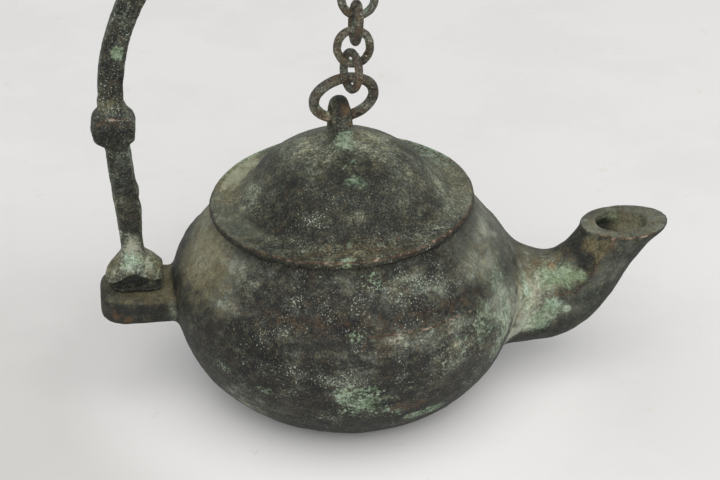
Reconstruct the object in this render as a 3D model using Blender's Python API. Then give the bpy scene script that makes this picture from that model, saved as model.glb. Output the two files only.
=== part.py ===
"""Bronze oil lamp: a squat hollow bowl with a spout and a lug, a lift-off domed lid with an eye,
a bow handle standing on the lug, and the chain that ties the lid to the handle.

The origin is the centre of the flat underside, +X points to the spout, -X to the lug, +Z up.
Dimensions are in millimetres and become metres where a mesh is made.
"""
import math

import bmesh
import bpy
from mathutils import Matrix, Vector

MM = 0.001
GAP = 0.3                        # clearance between pieces that touch

# Bowl
WALL = 2.8
BASE_RADIUS = 21.5
BELLY_RADIUS = 42.5
BELLY_HEIGHT = 28.3
SEAM_RADIUS = 39.5               # the joint line of the mould, above the belly
SEAM_HEIGHT = 37.1
SEAM_PROUD = 0.35
NECK_RADIUS = 29.9
NECK_HEIGHT = 49.3
NECK_FOOT = 43.5                 # above here the neck leans with the lid
ROUND_SIDES = 40

# Lid
LID_TILT = math.radians(2.0)     # the neck is cast a little high on the spout side
LID_OFFSET = -1.1                # the lid sits this far off centre, towards the lug
LID_PLANE = 51.6                 # height of the flange's upper rim
LID_RADIUS = 31.4
LID_EDGE = 2.0
DOME_RADIUS = 22.8
DOME_HEIGHT = 16.1
DOME_ROUND = 1.45                # exponents of the dome's superellipse
DOME_FLAT = 1.85
DOME_WALL = 2.2
LOCATING_RADIUS = 25.4           # the ring that keeps the lid in the neck
LOCATING_DEPTH = 3.0
LOCATING_WALL = 2.0

# Eye on the lid
EYE_TURN = math.radians(6.0)
EYE_OFFSET = 0.5
EYE_HEIGHT = 25.9                # its top above the flange's rim
EYE_FOOT = 13.6
EYE_HALF_DEPTH = 4.3
EYE_WIDTH = 5.0
EYE_STEPS = 14

# Spout
SPOUT_WALL = 2.5
SPOUT_CREASE = 0.05              # how far each side comes to a ridge, as a share of its width
SPOUT_SIDES = 18
MOUTH_HEIGHT = 39.6
MOUTH_HALF_LENGTH = 10.8
MOUTH_HALF_WIDTH = 8.9
WICK_HALF_LENGTH = 6.2
WICK_HALF_WIDTH = 4.8

# Lug
LUG_END = -59.0
LUG_HALF_WIDTH = 8.9
LUG_TOP = 30.2
LUG_THICKNESS = 6.1
LUG_CORNER = 5.0
LUG_EDGE = 0.7                   # the bevel along the plate's edges
LUG_ROOT = 1.5 - BELLY_RADIUS    # the plate runs this far into the bowl's wall
CORNER_STEPS = 4

# Handle
ROD_HALF = 2.65
ROD_X = -50.8                    # where the rod leaves the foot
FOOT_X = -50.2
FOOT_HALF_X = 6.3
FOOT_HALF_Y = 4.8
FOOT_HEIGHT = 4.4
FOOT_TOP = 39.3
KNOP_X = -53.2
KNOP_HEIGHT = 72.3
KNOP_HALF = 4.75
BOW_RADIUS = 53.5
BOW_CENTRE = 78.5
BOW_END = math.radians(85.0)     # measured from +X, past the crown of the bow
BOW_FORWARD = -3.2               # the bow's free end is bent this far forward
BOW_THINS_AT = 0.7               # the share of the bow's length where it begins to taper
BOW_STEPS = 18
CURL_RADIUS = 5.1
CURL_TURN = math.radians(255.0)
CURL_HALF = 1.4
CURL_STEPS = 14

# Chain
RING_WIDTH = 16.6                # the ring is bent a little flat
RING_LENGTH = 14.6
RING_WIRE = 2.4
RING_CENTRE = Vector((-0.55, -1.7, 77.7))
RING_TURN = math.radians(11.0)
RING_LEAN = math.radians(17.5)
RING_HOLD = math.radians(9.0)    # where the chain takes hold, past the ring's highest point
LINK_LENGTH = 10.5
LINK_WIDTH = 9.2
LINK_WIRE = 2.15
LINK_COUNT = 7
FIRST_LINK_TURN = math.radians(-69.0)
FACING_TURN = math.radians(-4.0)
EDGEWISE_TURN = math.radians(-85.0)
FACING_LEAN = math.radians(6.0)


# ---------------------------------------------------------------- modelling helpers

def clear_scene():
    for old in list(bpy.data.objects):
        bpy.data.objects.remove(old, do_unlink=True)


def bronze(name, colour, roughness):
    material = bpy.data.materials.new(name)
    material.use_nodes = True
    shader = material.node_tree.nodes["Principled BSDF"]
    shader.inputs["Base Color"].default_value = (*colour, 1.0)
    shader.inputs["Roughness"].default_value = roughness
    shader.inputs["Metallic"].default_value = 0.6
    material.diffuse_color = (*colour, 1.0)
    return material


def smooth_curve(points, steps):
    """A Catmull-Rom curve through the points, with the given number of steps in each span."""
    knots = [Vector(p) for p in points]
    ends = [2 * knots[0] - knots[1], *knots, 2 * knots[-1] - knots[-2]]
    curve = []
    for before, start, end, after in zip(ends, ends[1:], ends[2:], ends[3:]):
        for step in range(steps):
            t = step / steps
            curve.append(0.5 * (2 * start + (end - before) * t
                                + (2 * before - 5 * start + 4 * end - after) * t ** 2
                                + (3 * start - before - 3 * end + after) * t ** 3))
    return curve + [knots[-1]]


def offset_inward(outline, thickness):
    """The outline of a turned wall's inner face, each point moved square to the outer one."""
    inner = []
    for before, point, after in zip(outline, outline[1:], outline[2:]):
        along = (after - before).normalized()
        inner.append(Vector((point.x - thickness * along.y, point.y + thickness * along.x)))
    return inner


def add_object(name, mesh_builder, material=None):
    """Makes an object from a bmesh in millimetres."""
    bmesh.ops.recalc_face_normals(mesh_builder, faces=mesh_builder.faces)
    bmesh.ops.scale(mesh_builder, vec=(MM, MM, MM), verts=mesh_builder.verts)
    mesh = bpy.data.meshes.new(name)
    mesh_builder.to_mesh(mesh)
    mesh_builder.free()
    mesh.shade_smooth()
    mesh.set_sharp_from_angle(angle=math.radians(40))
    made = bpy.data.objects.new(name, mesh)
    bpy.context.scene.collection.objects.link(made)
    if material:
        mesh.materials.append(material)
    return made


def loft(rings, closed=False):
    """A skin through rings of equal counts; open lofts get a flat cap at each end."""
    skin = bmesh.new()
    loops = [[skin.verts.new(point) for point in ring] for ring in rings]
    pairs = list(zip(loops, loops[1:]))
    if closed:
        pairs.append((loops[-1], loops[0]))
    for lower, upper in pairs:
        count = len(lower)
        for i in range(count):
            j = (i + 1) % count
            skin.faces.new((lower[i], lower[j], upper[j], upper[i]))
    if not closed:
        skin.faces.new(loops[0])
        skin.faces.new(loops[-1])
    return skin


def turned(profile, lift=None):
    """A solid turned about the vertical axis. The profile starts and ends on the axis."""
    solid = bmesh.new()
    rows = []
    for radius, height in profile:
        if radius < 1e-6:
            rows.append([solid.verts.new((0, 0, height))])
            continue
        row = []
        for i in range(ROUND_SIDES):
            angle = math.tau * i / ROUND_SIDES
            x, y = radius * math.cos(angle), radius * math.sin(angle)
            row.append(solid.verts.new((x, y, height + (lift(x, height) if lift else 0.0))))
        rows.append(row)
    for lower, upper in zip(rows, rows[1:]):
        for i in range(ROUND_SIDES):
            j = (i + 1) % ROUND_SIDES
            corners = [lower[i % len(lower)], lower[j % len(lower)],
                       upper[j % len(upper)], upper[i % len(upper)]]
            solid.faces.new(list(dict.fromkeys(corners)))
    return solid


def combine(base, other, operation):
    """Cuts or joins with a helper object, which is hidden and left out of the model."""
    other.hide_render = True
    other.display_type = 'WIRE'
    boolean = base.modifiers.new(other.name, 'BOOLEAN')
    boolean.operation = operation
    boolean.solver = 'EXACT'
    boolean.object = other


def rounded_square(half_x, half_y, corner=0.62):
    """Twelve points of a square section with rounded corners."""
    bulge = (1 + corner) / 2 + 0.07
    quarter = [(1.0, corner), (bulge, bulge), (corner, 1.0)]
    points = []
    for turn in range(4):
        for u, v in quarter:
            for _ in range(turn):
                u, v = -v, u
            points.append((u * half_x, v * half_y))
    return points


# ---------------------------------------------------------------- bowl, spout and lug

def neck_lift(x, height):
    """How far the neck's rim rises towards the spout, so that the lid lies level on it."""
    share = (height - NECK_FOOT) / (NECK_HEIGHT - NECK_FOOT)
    return math.tan(LID_TILT) * x * min(max(share, 0.0), 1.0)


def bowl_outline():
    belly = [(BASE_RADIUS, 0.0), (24.8, 1.0), (31.2, 4.8), (37.3, 11.6), (40.9, 19.8),
             (BELLY_RADIUS, BELLY_HEIGHT), (41.4, 33.7), (SEAM_RADIUS, SEAM_HEIGHT)]
    shoulder = [(SEAM_RADIUS - SEAM_PROUD, SEAM_HEIGHT + 0.5), (36.4, 41.0), (33.9, 44.2),
                (31.5, 46.3), (30.2, 48.0), (NECK_RADIUS, NECK_HEIGHT)]
    return smooth_curve(belly, 2) + smooth_curve(shoulder, 2)


# Stations of the spout: centre x and z, lean of the section from upright in degrees,
# half height and half width.
SPOUT_STATIONS = [
    (33.0, 23.1, 0, 14.3, 14.3),
    (39.0, 22.5, 0, 13.1, 13.1),
    (44.5, 21.5, 2, 11.5, 11.5),
    (50.0, 20.9, 9, 10.5, 10.5),
    (55.4, 22.6, 26, 9.7, 9.7),
    (59.7, 26.8, 44, 8.6, 8.7),
    (63.4, 32.6, 58, 7.7, 8.0),
    (66.3, 36.6, 79, 8.4, 8.2),
    (67.9, 38.5, 90, MOUTH_HALF_LENGTH - 0.3, MOUTH_HALF_WIDTH - 0.2),
    (68.1, MOUTH_HEIGHT - 0.4, 92, MOUTH_HALF_LENGTH, MOUTH_HALF_WIDTH),
    (68.1, MOUTH_HEIGHT, 92, MOUTH_HALF_LENGTH - 0.4, MOUTH_HALF_WIDTH - 0.4),
]


def spout_ring(x, z, lean, half_height, half_width, crease=0.0):
    """One section of the spout: an oval, with a ridge on each side where crease is given."""
    lean = math.radians(lean)
    up = Vector((-math.sin(lean), 0, math.cos(lean)))
    ring = []
    for i in range(SPOUT_SIDES):
        angle = math.tau * i / SPOUT_SIDES
        side = math.sin(angle) + crease * math.sin(angle) ** 9
        ring.append(Vector((x, half_width * side, z)) + half_height * math.cos(angle) * up)
    return ring


def spout_skin():
    tube = [spout_ring(*station, SPOUT_CREASE) for station in smooth_curve(SPOUT_STATIONS[:-2], 2)]
    mouth = [spout_ring(*station) for station in SPOUT_STATIONS[-2:]]
    return loft(tube + mouth)


def spout_channel():
    """The bore: the spout's own stations less its wall, and the wick hole through the mouth."""
    inner = [(x, z, lean, half_height - SPOUT_WALL, half_width - SPOUT_WALL)
             for x, z, lean, half_height, half_width in SPOUT_STATIONS[:7]]
    inner[0] = (30.0, 22.0, 0, 11.5, 11.5)
    hole = [(66.2, 36.4, 78, 6.0, 5.2),
            (67.6, 38.2, 92, WICK_HALF_LENGTH, WICK_HALF_WIDTH),
            (67.9, MOUTH_HEIGHT + 1.5, 92, WICK_HALF_LENGTH + 1.2, WICK_HALF_WIDTH + 1.2)]
    return loft([spout_ring(*station) for station in inner + hole])


def lug_plate():
    """A flat plate with rounded outer corners, its root inside the bowl's wall."""
    outline = [(LUG_ROOT, -LUG_HALF_WIDTH), (LUG_ROOT, LUG_HALF_WIDTH)]
    for side, first in ((1, 90), (-1, 180)):
        for step in range(CORNER_STEPS + 1):
            angle = math.radians(first + 90 * step / CORNER_STEPS)
            outline.append((LUG_END + LUG_CORNER + LUG_CORNER * math.cos(angle),
                            side * (LUG_HALF_WIDTH - LUG_CORNER) + LUG_CORNER * math.sin(angle)))
    rings = []
    for height, inset in ((0, LUG_EDGE), (LUG_EDGE, 0), (LUG_THICKNESS - LUG_EDGE, 0),
                          (LUG_THICKNESS, LUG_EDGE)):
        shrink = 1 - inset / LUG_HALF_WIDTH
        rings.append([(x + (inset if x < LUG_ROOT else 0), y * shrink,
                       LUG_TOP - LUG_THICKNESS + height) for x, y in outline])
    return loft(rings)


def make_body(material):
    outline = bowl_outline()
    body = add_object("lamp_body", turned([(0, 0), *outline, (0, NECK_HEIGHT)], neck_lift), material)
    combine(body, add_object("spout_form", spout_skin()), 'UNION')
    combine(body, add_object("lug_form", lug_plate()), 'UNION')
    wall = offset_inward(outline[::2], WALL)
    wall = [point for point in wall if point.y > WALL]
    floor_edge = (wall[0].x - 1.5, WALL)
    mouth = NECK_RADIUS - WALL
    cavity = [(0, WALL), floor_edge, *wall[:-1], (mouth, NECK_HEIGHT - 2), (mouth, NECK_HEIGHT + 4),
              (0, NECK_HEIGHT + 4)]
    combine(body, add_object("cavity_form", turned(cavity, neck_lift)), 'DIFFERENCE')
    combine(body, add_object("channel_form", spout_channel()), 'DIFFERENCE')
    return body


# ---------------------------------------------------------------- lid

def dome(radius, height, low, high, steps):
    """Points of the dome's superellipse from the angle low to the angle high, in degrees."""
    points = []
    for step in range(steps + 1):
        angle = math.radians(low + (high - low) * step / steps)
        points.append((radius * max(math.cos(angle), 0.0) ** (2 / DOME_ROUND),
                       height * math.sin(angle) ** (2 / DOME_FLAT)))
    return points


def lid_eye():
    """An upright strap bent into an arch, so that its hole looks along X."""
    rings = []
    for step in range(EYE_STEPS + 1):
        angle = math.pi * step / EYE_STEPS
        side, rise = math.cos(angle), math.sin(angle)
        thickness = 0.95 + 0.75 * rise ** 3
        width = EYE_WIDTH / 2 + 0.7 * (1 - rise) ** 3 - 0.4 * rise ** 6
        reach = EYE_HALF_DEPTH - 0.95
        centre = Vector((0, math.copysign(abs(side) ** 0.75 * reach, side),
                         EYE_FOOT + (EYE_HEIGHT - 1.8 - EYE_FOOT) * rise ** 0.8))
        outward = Vector((0, side, rise * 0.9)).normalized()
        ring = []
        for u, v in rounded_square(width, thickness, 0.55):
            ring.append(centre + Vector((u, 0, 0)) + v * outward)
        rings.append(ring)
    return loft(rings)


def make_lid(material):
    under = -LID_EDGE
    ring_inner = LOCATING_RADIUS - LOCATING_WALL
    outer = dome(DOME_RADIUS, DOME_HEIGHT, 90, 14, 8)
    flange = [(23.4, 1.1), (24.9, 0.3), (27.6, -0.15), (30.6, 0.0), (LID_RADIUS, -0.5),
              (LID_RADIUS, under + 0.4), (LID_RADIUS - 0.5, under)]
    skirt = [(LOCATING_RADIUS, under), (LOCATING_RADIUS - 0.3, under - LOCATING_DEPTH),
             (ring_inner, under - LOCATING_DEPTH), (ring_inner - 0.5, under + 0.6)]
    inner = dome(DOME_RADIUS - DOME_WALL, DOME_HEIGHT - DOME_WALL, 8, 90, 6)
    profile = [(0, DOME_HEIGHT), *outer[1:], *flange, *skirt, *inner[:-1],
               (0, DOME_HEIGHT - DOME_WALL)]
    lid = add_object("lid", turned(profile), material)
    seat = Matrix.Translation((LID_OFFSET * MM, 0, LID_PLANE * MM)) @ Matrix.Rotation(-LID_TILT, 4, 'Y')
    eye = add_object("eye_form", lid_eye())
    lid.matrix_world = seat
    eye.matrix_world = (seat @ Matrix.Translation((EYE_OFFSET * MM, 0, 0))
                        @ Matrix.Rotation(EYE_TURN, 4, 'Z'))
    combine(lid, eye, 'UNION')
    return lid


# ---------------------------------------------------------------- handle

def handle_stations():
    """Centre, direction and half sizes of each section, from the foot to the tip of the curl."""
    up = Vector((0, 0, 1))
    seat = LUG_TOP + GAP
    stations = []
    for height, half_x, half_y in ((seat, FOOT_HALF_X - 0.5, FOOT_HALF_Y - 0.5),
                                   (seat + 0.5, FOOT_HALF_X, FOOT_HALF_Y),
                                   (seat + FOOT_HEIGHT, FOOT_HALF_X, FOOT_HALF_Y),
                                   (seat + FOOT_HEIGHT + 0.7, FOOT_HALF_X - 0.6, FOOT_HALF_Y - 0.4)):
        stations.append((Vector((FOOT_X, 0, height)), up, half_x, half_y))
    shaft = smooth_curve([(ROD_X, 0, FOOT_TOP), (ROD_X - 0.4, 0, 48.0), (ROD_X - 1.1, 0, 56.5),
                          (KNOP_X + 0.4, 0, KNOP_HEIGHT - 4.2)], 2)
    for point in shaft:
        stations.append((point, up, ROD_HALF, ROD_HALF))
    knop = ((-3.0, KNOP_HALF - 1.0), (-2.0, KNOP_HALF - 0.1), (1.2, KNOP_HALF + 0.1),
            (2.7, KNOP_HALF - 0.5), (4.3, ROD_HALF + 0.3))
    for rise, half in knop:
        stations.append((Vector((KNOP_X, 0, KNOP_HEIGHT + rise)), up, half, half))
    for step in range(BOW_STEPS + 1):
        share = step / BOW_STEPS
        angle = math.pi + (BOW_END - math.pi) * share
        point = Vector((BOW_RADIUS * math.cos(angle), BOW_FORWARD * share ** 2,
                        BOW_CENTRE + BOW_RADIUS * math.sin(angle)))
        along = Vector((math.sin(angle), 0, -math.cos(angle)))
        taper = max(0.0, (share - BOW_THINS_AT) / (1 - BOW_THINS_AT)) ** 1.5
        half = ROD_HALF + (CURL_HALF + 0.3 - ROD_HALF) * taper
        stations.append((point, along, half, half))
    end = stations[-1][0]
    centre = end - CURL_RADIUS * Vector((math.cos(BOW_END), 0, math.sin(BOW_END)))
    for step in range(1, CURL_STEPS + 1):
        angle = BOW_END - CURL_TURN * step / CURL_STEPS
        point = centre + CURL_RADIUS * Vector((math.cos(angle), 0, math.sin(angle)))
        along = Vector((math.sin(angle), 0, -math.cos(angle)))
        stations.append((point, along, CURL_HALF, CURL_HALF))
    tip, along, half, _ = stations[-1]
    stations.append((tip + 0.5 * half * along, along, 0.6 * half, 0.6 * half))
    return stations, centre


def make_handle(material):
    stations, _ = handle_stations()
    rings = []
    for point, along, half_x, half_y in stations:
        across = Vector((0, 1, 0)).cross(along)
        rings.append([point + u * across + v * Vector((0, 1, 0))
                      for u, v in rounded_square(half_x, half_y)])
    return add_object("handle", loft(rings), material)


# ---------------------------------------------------------------- chain

def oval_wire(length, width, wire, sides, round_sides):
    """A closed oval of round wire standing in the XZ plane, its centre at the origin."""
    half_length, half_width = (length - wire) / 2, (width - wire) / 2
    rings = []
    for i in range(sides):
        angle = math.tau * i / sides
        centre = Vector((half_width * math.cos(angle), 0, half_length * math.sin(angle)))
        outward = Vector((half_length * math.cos(angle), 0, half_width * math.sin(angle))).normalized()
        ring = []
        for j in range(round_sides):
            turn = math.tau * j / round_sides
            ring.append(centre + wire / 2 * (math.cos(turn) * outward
                                             + math.sin(turn) * Vector((0, 1, 0))))
        rings.append(ring)
    return loft(rings, closed=True)


def ring_pose():
    """The ring stands in the lid's eye, turned and with its top leaning forward."""
    return (Matrix.Translation(RING_CENTRE * MM) @ Matrix.Rotation(RING_TURN, 4, 'Z')
            @ Matrix.Rotation(RING_LEAN, 4, 'X'))


def make_chain(material):
    ring = add_object("chain_ring", oval_wire(RING_LENGTH, RING_WIDTH, RING_WIRE, 22, 8), material)
    ring.matrix_world = ring_pose()
    held = ring_pose() @ Vector(((RING_WIDTH - RING_WIRE) / 2 * MM * math.sin(RING_HOLD), 0,
                                 (RING_LENGTH - RING_WIRE) / 2 * MM * math.cos(RING_HOLD)))
    _, curl_centre = handle_stations()
    rest = curl_centre * MM - Vector((0, 0, CURL_RADIUS * MM))
    direction = (rest - held).normalized()
    end_play = (RING_WIRE / 2 + LINK_WIRE / 2 + GAP) * MM
    first = held + direction * ((LINK_LENGTH - LINK_WIRE) / 2 * MM - end_play)
    last = rest - direction * ((LINK_LENGTH - LINK_WIRE) / 2 * MM
                               - (CURL_HALF + LINK_WIRE / 2 + GAP) * MM)
    tilt = Vector((0, 0, 1)).rotation_difference(direction).to_matrix().to_4x4()
    for number in range(LINK_COUNT):
        centre = first.lerp(last, number / (LINK_COUNT - 1))
        turn, lean = (FACING_TURN, FACING_LEAN) if number % 2 else (EDGEWISE_TURN, 0)
        if number == 0:
            turn = FIRST_LINK_TURN
        link = add_object(f"chain_link_{number + 1}",
                          oval_wire(LINK_LENGTH, LINK_WIDTH, LINK_WIRE, 16, 6), material)
        link.matrix_world = (Matrix.Translation(centre) @ tilt @ Matrix.Rotation(turn, 4, 'Z')
                             @ Matrix.Rotation(lean, 4, 'X'))


def main():
    clear_scene()
    patina = bronze("dark_patina", (0.085, 0.09, 0.07), 0.55)
    worn = bronze("brown_patina", (0.12, 0.10, 0.08), 0.5)
    make_body(patina)
    make_lid(patina)
    make_handle(patina)
    make_chain(worn)


main()
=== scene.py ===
"""The bronze oil lamp's looks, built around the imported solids.

Each solid gets a fine skin of the same form, with softened joints, a cast and pitted surface and
an aged finish. Forms are worked out in millimetres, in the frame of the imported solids, and become
metres where a mesh is made.
"""
import functools
import math

import bmesh
import bpy
import numpy as np
from mathutils import Matrix, Vector, noise


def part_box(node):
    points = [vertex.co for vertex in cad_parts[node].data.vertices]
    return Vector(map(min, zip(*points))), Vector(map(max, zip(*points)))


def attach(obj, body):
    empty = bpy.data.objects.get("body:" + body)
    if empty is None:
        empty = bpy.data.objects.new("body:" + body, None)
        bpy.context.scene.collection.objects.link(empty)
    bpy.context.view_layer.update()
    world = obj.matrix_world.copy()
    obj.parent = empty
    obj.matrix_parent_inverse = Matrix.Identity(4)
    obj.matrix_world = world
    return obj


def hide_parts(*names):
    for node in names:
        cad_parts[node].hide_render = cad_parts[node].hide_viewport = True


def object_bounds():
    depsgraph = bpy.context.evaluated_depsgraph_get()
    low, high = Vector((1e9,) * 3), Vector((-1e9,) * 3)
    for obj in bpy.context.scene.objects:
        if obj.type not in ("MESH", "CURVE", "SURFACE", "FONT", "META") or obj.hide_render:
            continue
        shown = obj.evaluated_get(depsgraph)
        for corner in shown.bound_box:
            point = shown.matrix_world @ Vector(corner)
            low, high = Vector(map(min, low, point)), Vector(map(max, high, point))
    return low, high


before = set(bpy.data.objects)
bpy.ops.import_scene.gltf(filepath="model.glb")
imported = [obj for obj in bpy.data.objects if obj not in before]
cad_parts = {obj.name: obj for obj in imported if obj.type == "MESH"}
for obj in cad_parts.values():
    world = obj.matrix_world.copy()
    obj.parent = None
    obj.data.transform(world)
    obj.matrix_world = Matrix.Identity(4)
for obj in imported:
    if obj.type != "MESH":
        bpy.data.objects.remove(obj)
cad_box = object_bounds()

MM = 0.001


def extent(node):
    """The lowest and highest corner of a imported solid, in millimetres."""
    low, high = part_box(node)
    return low / MM, high / MM


body_low, body_high = extent("lamp_body")
lid_low, lid_high = extent("lid")

# Bowl
WALL = 2.8
BELLY = (body_high.y - body_low.y) / 2
NECK = 0.7035 * BELLY
SEAM_HEIGHT = 0.873 * BELLY
NECK_HEIGHT = 1.16 * BELLY
NECK_FOOT = 1.0235 * BELLY
BOWL_VOXEL = 0.55

# Spout
SPOUT_WALL = 2.5
MOUTH_HEIGHT = 39.6
MOUTH_HALF_LENGTH = 10.9
MOUTH_HALF_WIDTH = 8.3
MOUTH_SHIFT = 1.1
MOUTH_X = body_high.x - MOUTH_HALF_LENGTH
WICK_HALF_LENGTH = 6.0
WICK_HALF_WIDTH = 4.8
WICK_SHIFT = 1.2
WICK_X = 67.9
LIP_LINE = 38.8
PALE_SPOT = (52.7, -10.4, 22)
CREASE_RISE = 2.6

# Lug
LUG_HALF_WIDTH = 8.9
LUG_TOP = 30.2
LUG_THICKNESS = 6.4
LUG_CORNER = 6.5

# Lid
LID_TILT = math.radians(2.0)
LID_OFFSET = (lid_low.x + lid_high.x) / 2
LID_RADIUS = (lid_high.y - lid_low.y) / 2
LID_PLANE = 51.6
LID_EDGE = 2.0
DOME_RADIUS = 22.8
DOME_HEIGHT = 16.1
DOME_ROUND = 1.45
DOME_FLAT = 1.85
DOME_WALL = 2.2
LOCATING_RADIUS = 25.4
LOCATING_DEPTH = 3.0
LOCATING_WALL = 2.0
EYE_TURN = math.radians(6.0)
EYE_OFFSET = 0.5
EYE_HEIGHT = 25.9
EYE_FOOT = 13.6
EYE_HALF_DEPTH = 4.3
EYE_WIDTH = 5.0
EYE_HALF_THICKNESS = 0.95
LID_VOXEL = 0.42

# Handle
FOOT_BOTTOM = LUG_TOP + 0.3
KNOP_HEIGHT = 76
HANDLE_VOXEL = 0.38

# How far a worn line's field reaches to each side of the line
LINE_REACH = 2.0


# ---------------- mesh helpers

def smooth_curve(points, steps):
    """A Catmull-Rom curve through the points, with the given number of steps in each span."""
    knots = [Vector(p) for p in points]
    ends = [2 * knots[0] - knots[1], *knots, 2 * knots[-1] - knots[-2]]
    curve = []
    for before, start, end, after in zip(ends, ends[1:], ends[2:], ends[3:]):
        for step in range(steps):
            t = step / steps
            curve.append(0.5 * (2 * start + (end - before) * t
                                + (2 * before - 5 * start + 4 * end - after) * t ** 2
                                + (3 * start - before - 3 * end + after) * t ** 3))
    return curve + [knots[-1]]


def turns(count):
    """The angles of this many even steps round a circle."""
    return [math.tau * i / count for i in range(count)]


def tube(rings):
    """Points and faces of a skin through closed rings, with a flat cap at each end."""
    count = len(rings[0])
    points = [tuple(point) for ring in rings for point in ring]
    faces = [tuple(range(count)), tuple(range(len(points) - count, len(points)))]
    for row in range(0, len(points) - count, count):
        for i in range(count):
            j = (i + 1) % count
            faces.append((row + i, row + j, row + count + j, row + count + i))
    return points, faces


def turned(profile, sides, lift=None):
    """A tube of circles about the vertical axis."""
    rings = []
    for radius, height in profile:
        radius = max(radius, 0.02)
        flat = [(radius * math.cos(angle), radius * math.sin(angle)) for angle in turns(sides)]
        rings.append([(x, y, height + (lift(x, height) if lift else 0.0)) for x, y in flat])
    return tube(rings)


def edited(mesh, operation, kind, **settings):
    """The mesh after one bmesh operation on all of its faces or points."""
    builder = bmesh.new()
    builder.from_mesh(mesh)
    operation(builder, **{kind: getattr(builder, kind)}, **settings)
    builder.to_mesh(mesh)
    builder.free()
    return mesh


def mesh_of(name, forms):
    """One mesh in millimetres from several closed forms, each with its faces pointing out."""
    points, faces = [], []
    for form_points, form_faces in forms:
        faces += [tuple(i + len(points) for i in face) for face in form_faces]
        points += form_points
    mesh = bpy.data.meshes.new(name)
    mesh.from_pydata(points, [], faces)
    return edited(mesh, bmesh.ops.recalc_face_normals, "faces")


def placed(name, data):
    """A new object in the scene."""
    thing = bpy.data.objects.new(name, data)
    bpy.context.scene.collection.objects.link(thing)
    return thing


def given(thing, settings):
    """The thing with these properties set."""
    for key, value in settings.items():
        setattr(thing, key, value)
    return thing


def evaluated(mesh, kind, **settings):
    """The mesh after one modifier."""
    holder = placed("holder", mesh)
    given(holder.modifiers.new(kind, kind), settings)
    graph = bpy.context.evaluated_depsgraph_get()
    result = bpy.data.meshes.new_from_object(holder.evaluated_get(graph))
    bpy.data.objects.remove(holder)
    return result


def fused(mesh, voxel):
    """The mesh's closed forms as one even skin of small squares."""
    return evaluated(mesh, 'REMESH', mode='VOXEL', voxel_size=voxel)


def cut(mesh, cutter):
    """The mesh less the cutter."""
    tool = placed("cutter", cutter)
    result = evaluated(mesh, 'BOOLEAN', operation='DIFFERENCE', solver='EXACT', object=tool)
    bpy.data.objects.remove(tool)
    return result


def read(collection, name, width, kind=np.float32):
    """One property of every item, as rows."""
    values = np.empty(len(collection) * width, kind)
    collection.foreach_get(name, values)
    return values.reshape(-1, width).astype(np.float64 if kind == np.float32 else kind)


def points_of(mesh):
    return read(mesh.vertices, "co", 3)


def normals_of(mesh):
    return read(mesh.vertex_normals, "vector", 3)


def move_points(mesh, points):
    mesh.vertices.foreach_set("co", points.astype(np.float32).ravel())
    mesh.update()


def relax(mesh, weight, rounds):
    """Draws each point towards the middle of its neighbours, by its weight."""
    points = points_of(mesh)
    edges = read(mesh.edges, "vertices", 2, np.int32)
    count = len(points)
    degree = np.bincount(edges.ravel(), minlength=count).clip(1)
    for _ in range(rounds):
        for axis in range(3):
            column = points[:, axis]
            total = (np.bincount(edges[:, 0], column[edges[:, 1]], count)
                     + np.bincount(edges[:, 1], column[edges[:, 0]], count))
            points[:, axis] = column + weight * (total / degree - column)
    move_points(mesh, points)


def grain(points, size, octaves=1, shift=0.0):
    """Smooth noise about 0 at each point, between about -1 and 1, with grains of this size."""
    scaled = points / size + shift
    if octaves == 1:
        return np.array([noise.noise(p) for p in scaled.tolist()])
    return np.array([noise.fractal(p, 1.0, 2.0, octaves) for p in scaled.tolist()])


def ease(value, low, high):
    """0 below low, 1 above high and smooth between; the other way round where low is the larger."""
    t = np.clip((value - low) / (high - low), 0, 1)
    return t * t * (3 - 2 * t)


def strongest(*fields):
    """The largest of several fields at each point."""
    return functools.reduce(np.maximum, fields)


def degrees_round(points):
    """How far round the axis each point lies from the front, more than 0 towards the spout."""
    return np.degrees(np.arctan2(points[:, 0], -points[:, 1]))


def push(mesh, amount):
    """Moves each point along its normal."""
    move_points(mesh, points_of(mesh) + normals_of(mesh) * amount[:, None])


# ---------------- patches and fields

def spots(points, patches):
    """The strongest of several soft patches at each point. A patch is its centre, its radii along
    X, Y and Z and its strength."""
    field = np.zeros(len(points))
    for centre, radii, strength in patches:
        away = np.linalg.norm((points - np.array(centre)) / np.array(radii), axis=1)
        field = np.maximum(field, strength * ease(away, 1.5, 0.3))
    return field


def store(mesh, **fields):
    """Keeps each field on the mesh, for its material to read. A field left out is 0."""
    for name in ("verdigris", "ochre", "crust", "rust", "soot", "fleck", "smooth", "worn", "line"):
        values = fields.get(name, np.zeros(len(mesh.vertices)))
        attribute = mesh.attributes.new(name, 'FLOAT', 'POINT')
        attribute.data.foreach_set("value", np.clip(values, 0, 2).astype(np.float32))


def line_at(height_above):
    """A field that is 0.5 on a thin line and runs straight through it, as far as its reach each
    way."""
    return np.clip(0.5 + height_above / (2 * LINE_REACH), 0, 1)


def add_piece(name, mesh, material, nodes):
    """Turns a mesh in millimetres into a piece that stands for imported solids."""
    mesh.transform(Matrix.Scale(MM, 4))
    mesh.shade_smooth()
    mesh.materials.clear()
    mesh.materials.append(material)
    mesh.name = name
    piece = placed(name, mesh)
    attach(piece, "root")
    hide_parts(*nodes)
    return piece


# ---------------- materials

def tone(red, green, blue):
    """A colour given by its usual 0 to 255 code, as the shader wants it."""
    linear = [((c / 255 + 0.055) / 1.055) ** 2.4 for c in (red, green, blue)]
    return (*linear, 1.0)


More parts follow.
